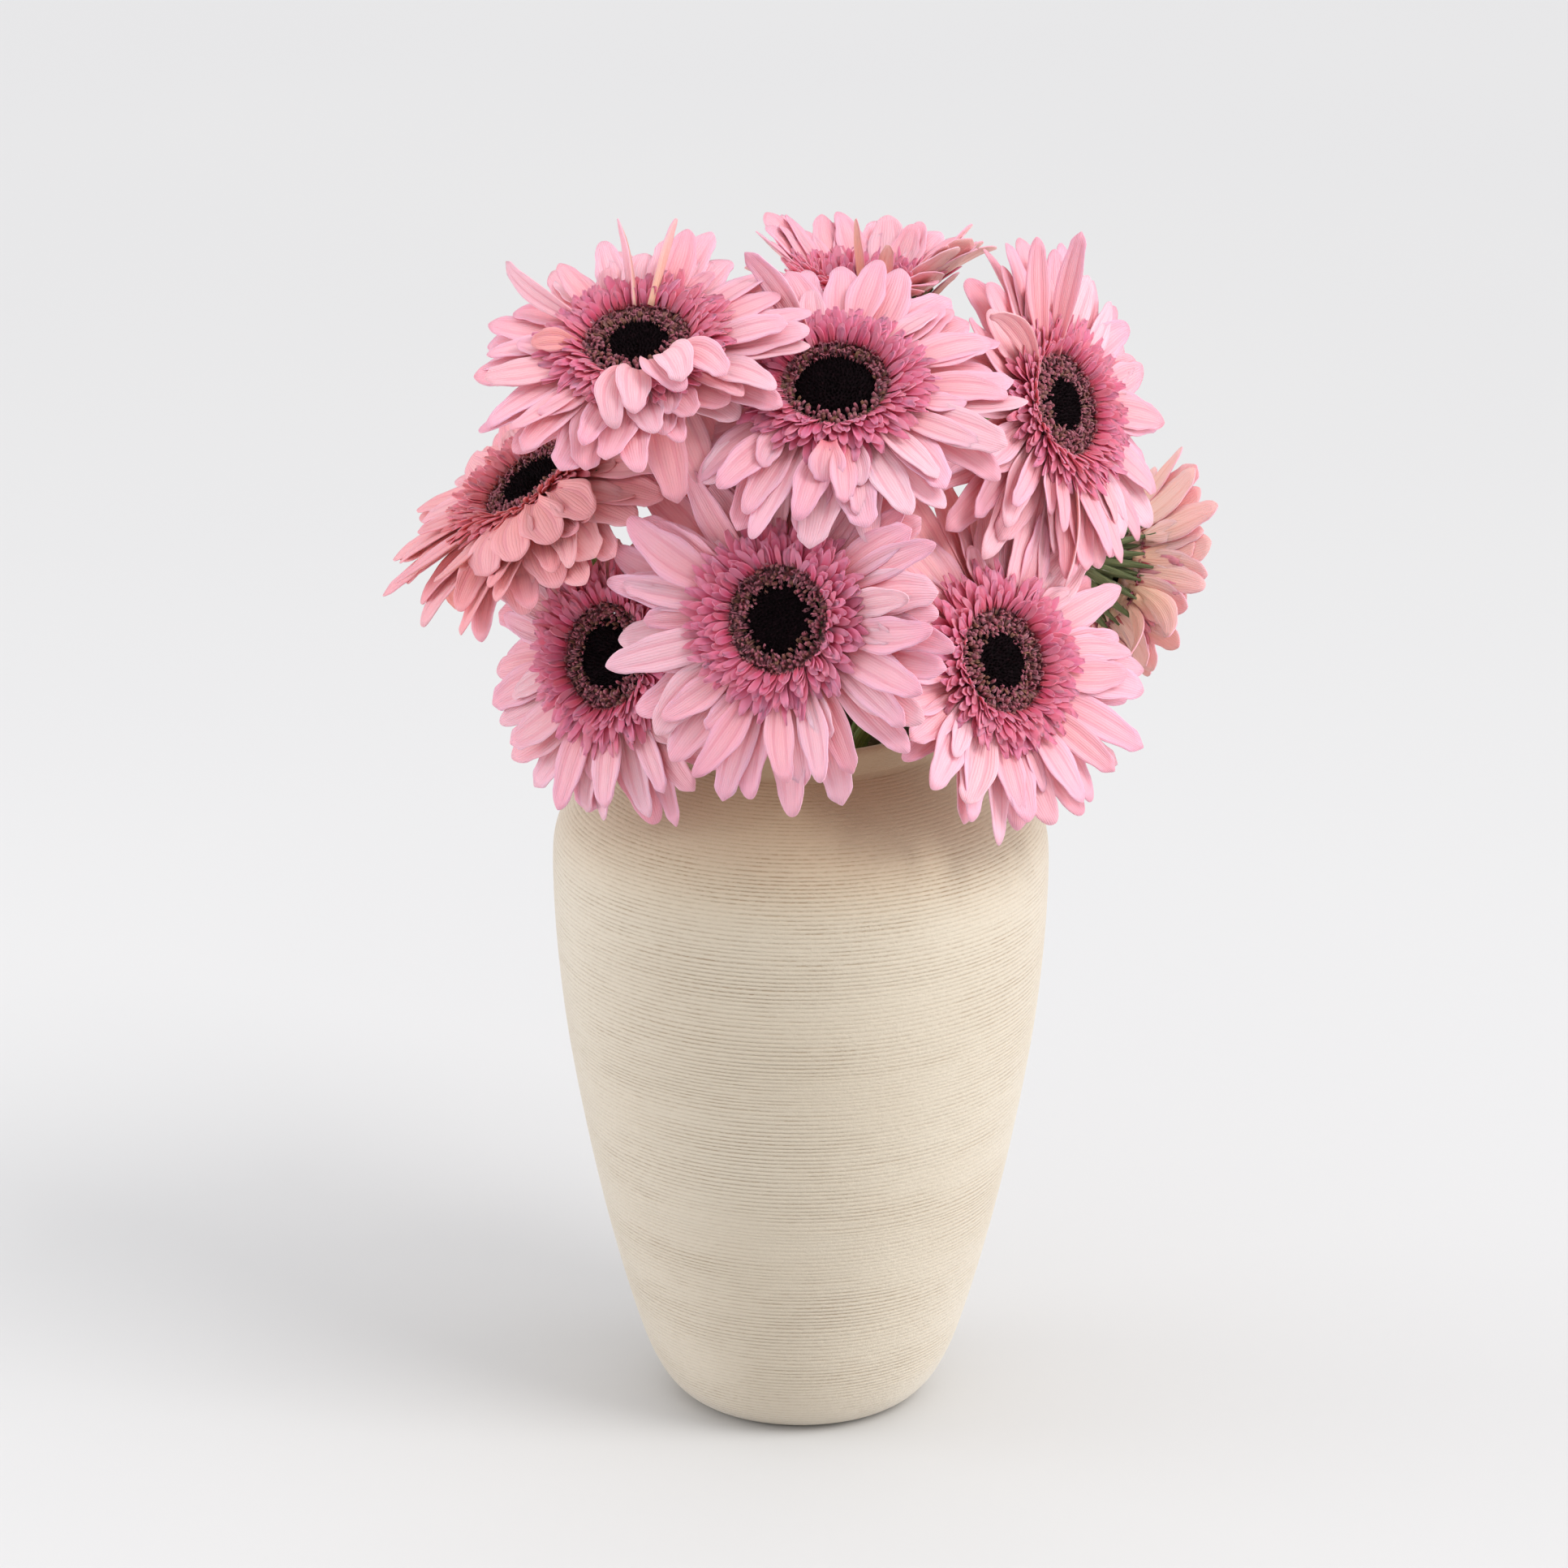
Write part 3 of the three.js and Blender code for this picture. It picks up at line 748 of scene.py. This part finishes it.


# Petals laid one by one, those that stray from their ring and those that fill in beside a neighbour:
# angle, root, height, length, width, rise, droop, twist, tilt and swing (mm and degrees), warmth.
STRAY_PETALS = {
    "top_left": (
        (106, 17, 4, 31, 9, 30, 4, 20, 66, 4, 0.1), (86, 17, 4, 31, 8, 30, 2, 15, 78, -2, 0.1),
        (162, 18, 3, 42, 7, 18, -20, 20, 40, -12, 0.1), plain(296, 42, 13, -28, -30, 0.3),
        plain(312, 40, 13, -34, -30, 0.3), plain(328, 36, 13, -40, -24, 0.3),
        (196, 20, 5, 15, 8, 40, -60, 10, 30, 0, 0.7), (283, 17, 5, 26, 12, 62, -118, 10, 20, 0, 0.1),
        (300, 16, 5, 27, 13, 78, -128, -16, 12, 8, 0.1), (316, 16, 5, 28, 13, 84, -120, 12, -10, -8, 0.1),
        (331, 17, 5, 27, 12, 66, -110, 10, -16, 0, 0.1), (268, 17, 4, 30, 11, 50, -100, -24, 26, 6, 0.1)),
    "top_middle": (
        (268, 27, 5, 15, 12, 14, -72, 6, 0, 0, 0.0), (276, 26, 3, 22, 10, 10, -50, 16, 20, 0, 0.1),
        (118, 18, 3, 40, 9, 18, 0, 10, 40, 6, 0.0)),
    "top_right": (
        (128, 17, 3, 46, 8, 30, -22, 20, 50, 12, 0.5), (100, 17, 3, 44, 10, 18, 10, 10, 20, 0, 0.2),
        (75, 17, 3, 42, 8, 24, 6, 10, 50, 0, 0.1), (252, 16, 2, 48, 10, 14, -30, 10, 20, -10, 0.3),
        plain(214, 52, 13, -6, -8, 0.2), plain(228, 54, 13, -6, -8, 0.2), plain(242, 54, 13, -4, -8, 0.2),
        plain(188, 48, 13, -18, -8, 0.2), plain(202, 52, 13, -14, -8, 0.2)),
    "left": (
        plain(335, 22, 17, 16, -56, 0.6, 26, 6), (352, 26, 6, 24, 17, 14, -54, 6, 0, 0, 0.6),
        (9, 26, 5, 26, 16, 14, -48, -6, 0, 0, 0.6), (316, 26, 5, 20, 16, 14, -60, 4, 0, 0, 0.5),
        plain(343, 38, 17, 2, -40, 0.5, 17, 0), plain(325, 38, 17, -2, -44, 0.5, 17, 0),
        plain(0, 40, 17, 4, -36, 0.5, 17, 0), plain(306, 44, 15, -6, -30, 0.3, 17, 0),
        plain(18, 42, 16, 2, -30, 0.4, 17, 0), plain(28, 46, 15, 0, -24, 0.4, 17, 0),
        plain(40, 44, 14, 2, -20, 0.3, 17, 0), (262, 16, 1, 38, 11, 0, -60, 40, 10, 0, 1.0)),
    "front": (
        plain(136, 78, 15, -8, -6, 0.2), plain(124, 80, 15, -12, -6, 0.2),
        plain(148, 64, 14, -2, -12, 0.1), plain(112, 72, 15, -18, -4, 0.25),
        plain(101, 66, 15, -22, -6, 0.3), plain(92, 60, 15, -22, -8, 0.3),
        plain(76, 60, 15, -20, -8, 0.25), plain(62, 60, 14, -12, -10, 0.2)),
    "lower_right": (
        plain(96, 62, 14, -12, -6, 0.3), plain(112, 66, 14, -10, -4, 0.3),
        plain(80, 60, 14, -12, -6, 0.3), plain(126, 66, 14, -6, -4, 0.2), plain(66, 52, 14, -8, -8, 0.3),
        plain(144, 52, 13, -2, -8, 0.1)),
    "back": (
        plain(56, 46, 14, -8, -10, 0.1, 16, 1), plain(74, 46, 14, -14, -10, 0.1, 16, 1),
        plain(92, 46, 14, -16, -10, 0.2, 16, 1), plain(110, 46, 14, -14, -10, 0.1, 16, 1),
        plain(127, 46, 14, -8, -10, 0.1, 16, 1), (100, 17, 3, 34, 5, 48, 8, 10, 40, 0, 0.5),
        (118, 17, 3, 28, 6, 46, -8, 10, 40, 0, 0.4)),
    "nodding": (
        (250, 16, 1, 30, 6, 30, -70, 40, 20, 14, 0.4), (300, 16, 1, 32, 5, 20, -60, 60, 20, -14, 0.6),
        (200, 16, 1, 30, 6, 30, -66, -30, 20, 10, 0.4), (180, 16, 1, 34, 9, 34, -50, 10, 20, 10, 0.2)),
}


def pressed_rise(flower, angle):
    """Rise of the petals and share of their reach at an angle round the head."""
    rise, share = flower["rise"], 1.0
    for middle, half_width, change, left in flower["pressed"]:
        turn = (angle - middle + 180) % 360 - 180
        near = smoothstep(1 - abs(turn) / half_width)
        rise += change * near
        share += (left - 1) * near
    return rise, share


def middle_of(node):
    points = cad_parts[node].data.vertices
    return sum((vertex.co for vertex in points), Vector()) / len(points)


def head_matrix(name):
    """Frame of a flower head: Z the way it faces, X level, origin in the middle of its face."""
    facing = (middle_of(name + "_disc") - middle_of(name + "_calyx")).normalized()
    level = Vector((0, 0, 1)).cross(facing).normalized()
    upward = facing.cross(level)
    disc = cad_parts[name + "_disc"].data.vertices
    low = min(vertex.co.dot(facing) for vertex in disc)
    centre = middle_of(name + "_disc")
    centre += facing * (low + HALF_DISH * MM - centre.dot(facing))
    matrix = Matrix((level, upward, facing)).transposed().to_4x4()
    return Matrix.Translation(centre) @ matrix


# Layers of long petals, back to front: how many, root radius and height (mm), share of the reach,
# change of rise (degrees) and width (mm).
PETAL_LAYERS = (
    (17, 13.5, -1.6, 1.04, -5.0, 14.4),
    (17, 14.5, -0.8, 1.00, 0.0, 13.4),
    (14, 16.5, 0.2, 0.94, 4.0, 12.2),
    (6, 22.0, 1.6, 0.76, 4.0, 8.4),
)
PETAL_THICKNESS = 0.45  # mm
ROOT_RISE = 4  # degrees that every long petal rises more than its ring
SHORTEST_PETAL = 12  # mm


def long_petals(name, head):
    """The outer whorl: layers of petals laid by rule, then those listed one by one."""
    flower = FLOWERS[name]
    draw = random.Random(name + " petals")
    bed = Bed()
    for count, root, height, share, lifted, width in PETAL_LAYERS:
        turn = draw.uniform(0, 360)
        for number in range(count):
            angle = turn + 360 * number / count + draw.uniform(-6, 6)
            rise, left = pressed_rise(flower, angle)
            reach = flower["reach"] * share * draw.uniform(0.91, 1.05)
            length = max((reach - root) * left, SHORTEST_PETAL)
            warmth = min(max(flower["warmth"] + draw.uniform(-0.12, 0.16), 0), 1)
            bed.lay(
                draw.choice(PETALS), angle, root, height + draw.uniform(-0.4, 0.4), length,
                width * draw.uniform(0.78, 1.1) * (0.75 + 0.25 * left),
                rise + lifted + ROOT_RISE + draw.uniform(-4, 4), droop=draw.uniform(-18, -2),
                curl=draw.uniform(-18, 10), twist=draw.uniform(-20, 20), swing=draw.uniform(-7, 7),
                tilt=draw.uniform(-9, 9), tone=(warmth, draw.uniform(0, 0.35), draw.random()))
    for stray in STRAY_PETALS.get(name, ()):
        angle, root, height, length, width, rise, droop, twist, tilt, swing, warmth = stray
        bed.lay(draw.choice(PETALS), angle, root, height, length, width, rise, droop=droop, twist=twist,
                tilt=tilt, swing=swing, tone=(warmth, draw.uniform(0, 0.3), draw.random()))
    item = bed.piece(name + "_long_petals", head, (PETAL_TOP, PETAL_BACK), PETAL_THICKNESS)
    finish_piece(item, name + "_petals")


# Rows of inner florets, outside first: how many, root radius and height (mm), length, rise, width.
FLORET_ROWS = (
    (60, 18.4, 2.2, 15.0, 14, 3.0),
    (58, 18.2, 2.8, 13.2, 20, 2.9),
    (54, 18.0, 3.2, 11.0, 28, 2.7),
    (50, 17.8, 3.5, 8.6, 38, 2.5),
    (48, 17.6, 3.7, 6.4, 50, 2.2),
)
FLORET_THICKNESS = 0.3  # mm


def inner_florets(name, head):
    """The ring of short deep pink florets, in rows that stand up more the further in they are."""
    flower = FLOWERS[name]
    draw = random.Random(name + " florets")
    bed = Bed()
    for row, (count, root, height, length, rise, width) in enumerate(FLORET_ROWS):
        for number in range(count):
            angle = 360 * (number + 0.5 * (row % 2)) / count + draw.uniform(-2.5, 2.5)
            dish, _ = pressed_rise(flower, angle)
            warmth = min(max(flower["warmth"] * 0.8 + draw.uniform(-0.1, 0.15), 0), 1)
            bed.lay(
                draw.choice(FLORETS), angle, root + draw.uniform(-0.5, 0.5), height,
                length * draw.uniform(0.85, 1.12), width * draw.uniform(0.85, 1.15),
                rise + dish * 0.8 + draw.uniform(-5, 5), droop=draw.uniform(-24, -6),
                curl=draw.uniform(-10, 25), twist=draw.uniform(-20, 20), swing=draw.uniform(-6, 6),
                tilt=draw.uniform(-12, 12), tone=(warmth, 0.05 * row + draw.uniform(0, 0.3), draw.random()))
    item = bed.piece(name + "_floret_ring", head, (FLORET_TOP, FLORET_BACK), FLORET_THICKNESS)
    finish_piece(item, name + "_inner_florets")


DISC_OUTSIDE = 18.4  # mm, where the disc florets meet the inner florets
DISC_STEP = 1.1  # mm from one row of disc florets to the next
DISC_SPACING = 1.5  # mm from one disc floret to its neighbour in a row
DISC_LEVEL = 2.6  # mm, lowest that a disc floret stands
BUTTON_RADIUS = 13.4  # mm
BUTTON_HEIGHT = 4.5  # mm
DIMPLE_RADIUS = 4.7  # mm
DIMPLE_DEPTH = 1.6  # mm
TUFTS_PER_SQUARE = 1.9  # tufts in a square of the eye's radius, for each square mm
GOLDEN_ANGLE = 137.508  # degrees from one tuft to the next


def button_height(radius):
    """Height of the dimpled button above the face, in mm."""
    dome = math.sqrt(max(0.0, 1 - (radius / BUTTON_RADIUS) ** 2))
    return BUTTON_HEIGHT * dome - DIMPLE_DEPTH * math.exp(-(radius / DIMPLE_RADIUS) ** 2)


def disc_button(name, head):
    """The dimpled button in the middle, nearly black."""
    deselect()
    bpy.ops.mesh.primitive_uv_sphere_add(segments=40, ring_count=20, radius=1)
    button = bpy.context.object
    button.name = name + "_dark_button"
    for vertex in button.data.vertices:
        flat = Vector((vertex.co.x, vertex.co.y, 0)) * BUTTON_RADIUS
        rough = 0.25 * noise.noise(vertex.co * 9)
        height = button_height(flat.length) + rough if vertex.co.z > 0 else 0.6 * vertex.co.z
        vertex.co = head @ ((flat + Vector((0, 0, height))) * MM)
    bpy.ops.object.shade_smooth()
    button.data.materials.append(EYE)
    finish_piece(button, name + "_disc")


def eye_tufts(name, head, draw):
    """Fine dark tufts over the button, out to the radius of the eye."""
    eye = FLOWERS[name]["eye"]
    bed = Bed()
    count = round(eye * eye * TUFTS_PER_SQUARE)
    for number in range(count):
        radius = (eye - 0.3) * math.sqrt((number + 0.5) / count)
        bed.lay(TUFT, GOLDEN_ANGLE * number, radius, button_height(radius) - 0.2,
                draw.uniform(1.3, 2.3), 0.75, 90 - 2.4 * radius + draw.uniform(-14, 14),
                droop=draw.uniform(-30, 30), tilt=draw.uniform(-50, 50), tone=(0, 0.7, draw.random()))
    item = bed.piece(name + "_eye_tufts", head, (EYE,), 0.25)
    finish_piece(item, name + "_disc")


def disc_florets(name, head, draw):
    """Curled maroon florets in rows between the eye and the inner florets."""
    eye = FLOWERS[name]["eye"]
    bed = Bed()
    rows = max(2, round((DISC_OUTSIDE - eye) / DISC_STEP))
    for row in range(rows):
        share = (row + 0.5) / rows
        radius = eye + (DISC_OUTSIDE - eye) * share
        height = max(button_height(radius), DISC_LEVEL)
        count = round(math.tau * radius / DISC_SPACING)
        for number in range(count):
            angle = 360 * (number + 0.5 * (row % 2)) / count + draw.uniform(-3, 3)
            warm = draw.uniform(0.4, 1.0) if draw.random() < 0.35 else 0.0
            curling = draw.choice((draw.uniform(-150, -60), draw.uniform(30, 110)))
            bed.lay(LIP, angle, radius + draw.uniform(-0.4, 0.4), height - 0.6, draw.uniform(2.0, 3.2), 1.05,
                    92 - 42 * share + draw.uniform(-10, 10), droop=curling, twist=draw.uniform(-50, 50),
                    tilt=draw.uniform(-25, 25),
                    tone=(warm * (1 - 0.6 * share), draw.uniform(0, 0.8) * (1 - 0.7 * share), draw.random()))
    item = bed.piece(name + "_disc_florets", head, (LIP_TOP,), 0.35)
    finish_piece(item, name + "_disc")


def disc(name, head):
    """The dark centre: the button, its tufts and the florets round it."""
    draw = random.Random(name + " disc")
    disc_button(name, head)
    eye_tufts(name, head, draw)
    disc_florets(name, head, draw)


CUP_LOW = -18.2  # mm from the face down to the foot of the calyx
CUP_DEPTH = 16.6  # mm
CUP_RADII = (3.6, 13.0)  # mm, at its foot and at its top
# Rows of bracts, lowest first: how many, root radius and height (mm), length and rise.
BRACT_ROWS = ((16, 3.6, -18.2, 18, 62), (20, 5.2, -17.0, 23, 58), (24, 8.0, -14.0, 23, 52))
BRACT_WIDTH = 4.2  # mm
HAIR_PLACES = (0.1, 0.3, 0.5, 0.7)  # shares of the way up the calyx, a hair at each for every bract


def calyx(name, head):
    """The green cup under the head, in three rows of narrow bracts with silver hairs."""
    draw = random.Random(name + " calyx")
    deselect()
    bpy.ops.mesh.primitive_uv_sphere_add(segments=32, ring_count=16, radius=1)
    cup = bpy.context.object
    cup.name = name + "_calyx_cup"
    cup.data.uv_layers[0].name = "strap"
    foot_radius, top_radius = CUP_RADII
    for vertex in cup.data.vertices:
        share = (vertex.co.z + 1) / 2
        radius = foot_radius + (top_radius - foot_radius) * smoothstep(share, -0.1, 0.9)
        flat = math.hypot(vertex.co.x, vertex.co.y)
        width = radius * min(1.0, flat * 1.6)
        place = Vector((vertex.co.x, vertex.co.y, 0)) * (width / max(flat, 0.001))
        vertex.co = head @ ((place + Vector((0, 0, CUP_LOW + CUP_DEPTH * share))) * MM)
    bpy.ops.object.shade_smooth()
    cup.data.materials.append(CALYX_GREEN)
    finish_piece(cup, name + "_calyx")
    bracts = Bed()
    hairs = Bed()
    for row, (count, root, height, length, rise) in enumerate(BRACT_ROWS):
        for number in range(count):
            angle = 360 * (number + 0.33 * row) / count + draw.uniform(-3, 3)
            dish, _ = pressed_rise(FLOWERS[name], angle)
            bracts.lay(BRACT, angle, root + 0.3 * row, height, length * draw.uniform(0.85, 1.15),
                       BRACT_WIDTH, rise + draw.uniform(-4, 4),
                       droop=draw.uniform(-48, -30) + 0.8 * max(dish, 0),
                       tilt=draw.uniform(-12, 12), tone=(0, 0, draw.random()))
            for share in HAIR_PLACES:
                hairs.lay(TUFT, angle + draw.uniform(-6, 6), root + 0.8 + share * 8, height + share * 13,
                          draw.uniform(3, 6), 0.28, draw.uniform(20, 75), droop=draw.uniform(-30, 30),
                          tilt=draw.uniform(-40, 40))
    item = bracts.piece(name + "_bracts", head, (CALYX_GREEN,), 0.4)
    finish_piece(item, name + "_calyx")
    item = hairs.piece(name + "_calyx_hairs", head, (HAIR_SILVER,), 0.12)
    finish_piece(item, name + "_calyx")


# ------------------------ stems

STEM_SIDES = 16
STEM_RINGS = 60
STEM_RADIUS = 2.75  # mm
RING_REACH = 0.0064  # m, a little more than a CAD stem is wide
BARE_SHARE = 0.45  # share of a stem, from its foot, without hairs
HAIR_CHANCE = 0.9


def centre_line(node):
    """Middles of the rings of a CAD stem, from the foot up."""
    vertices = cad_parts[node].data.vertices
    left = {tuple(round(value, 5) for value in vertex.co) for vertex in vertices}
    left = [Vector(point) for point in left]
    rings = []
    while left:
        seed = min(left, key=lambda point: point.z)
        ring = [point for point in left if (point - seed).length < RING_REACH]
        left = [point for point in left if (point - seed).length >= RING_REACH]
        rings.append(sum(ring, Vector()) / len(ring))
    line = [min(rings, key=lambda point: point.z)]
    rings.remove(line[0])
    while rings:
        line.append(min(rings, key=lambda point: (point - line[-1]).length))
        rings.remove(line[-1])
    return line


def stem(name):
    """A ridged stem along the CAD stem's own line, with hairs on its upper part."""
    line = centre_line(name + "_stem")
    draw = random.Random(name + " stem")
    places = [catmull(line, ring / STEM_RINGS) for ring in range(STEM_RINGS + 1)]
    points, faces, uvs, hairs = [], [], [], []
    side = Vector((1, 0, 0))
    for ring, place in enumerate(places):
        ahead = places[min(ring + 1, STEM_RINGS)] - places[max(ring - 1, 0)]
        ahead.normalize()
        side = (side - ahead * side.dot(ahead)).normalized()
        other = ahead.cross(side)
        for step in range(STEM_SIDES):
            turn = math.tau * step / STEM_SIDES
            uneven = noise.noise(Vector((turn, ring * 0.2, 0)))
            ridge = 1 + 0.04 * math.cos(5 * turn) + 0.03 * uneven
            radius = STEM_RADIUS * ridge * MM
            out = side * math.cos(turn) + other * math.sin(turn)
            points.append(place + out * radius)
            if ring > STEM_RINGS * BARE_SHARE and draw.random() < HAIR_CHANCE:
                hairs.append((place + out * radius * 0.95, out, ahead))
    for ring in range(STEM_RINGS):
        for step in range(STEM_SIDES):
            near, far = ring * STEM_SIDES, (ring + 1) * STEM_SIDES
            after = (step + 1) % STEM_SIDES
            faces.append((near + step, near + after, far + after, far + step))
            for across, along in ((step, ring), (step + 1, ring), (step + 1, ring + 1), (step, ring + 1)):
                uvs += [across / STEM_SIDES, along / STEM_RINGS]
    for ring in (0, STEM_RINGS):
        cap = [ring * STEM_SIDES + step for step in range(STEM_SIDES)]
        faces.append(tuple(reversed(cap)) if ring == 0 else tuple(cap))
        uvs += [0.5, 0.5] * STEM_SIDES
    item = new_item(name + "_smooth_stem", points, faces, uvs, (STEM_GREEN,))
    make_active(item)
    bpy.ops.object.shade_smooth()
    finish_piece(item, name + "_stem")
    stem_hairs(name, hairs, draw)


def stem_hairs(name, hairs, draw):
    """Thin four-sided spikes, one at each root given with its ways out and ahead along the stem."""
    points, faces, uvs = [], [], []
    for root, out, ahead in hairs:
        lean = (out + ahead * draw.uniform(-0.3, 0.9)).normalized()
        tip = root + lean * draw.uniform(0.9, 2.0) * MM
        across = out.cross(ahead) * 0.09 * MM
        first = len(points)
        points += [root + across, root - across, root + ahead * 0.15 * MM, tip]
        faces += [(first, first + 2, first + 3), (first + 2, first + 1, first + 3),
                  (first + 1, first, first + 3), (first, first + 1, first + 2)]
        uvs += [0.5, 0.0] * 12
    item = new_item(name + "_stem_hairs", points, faces, uvs, (HAIR_SILVER,))
    finish_piece(item, name + "_stem")


# ------------------------ assembly


def floor():
    deselect()
    bpy.ops.mesh.primitive_plane_add(size=24)
    item = bpy.context.object
    item.name = "studio_floor"
    item.data.materials.append(FLOOR)


camera()
lights()
floor()
vase()
for flower_name in FLOWERS:
    head_frame = head_matrix(flower_name)
    long_petals(flower_name, head_frame)
    inner_florets(flower_name, head_frame)
    disc(flower_name, head_frame)
    calyx(flower_name, head_frame)
    stem(flower_name)
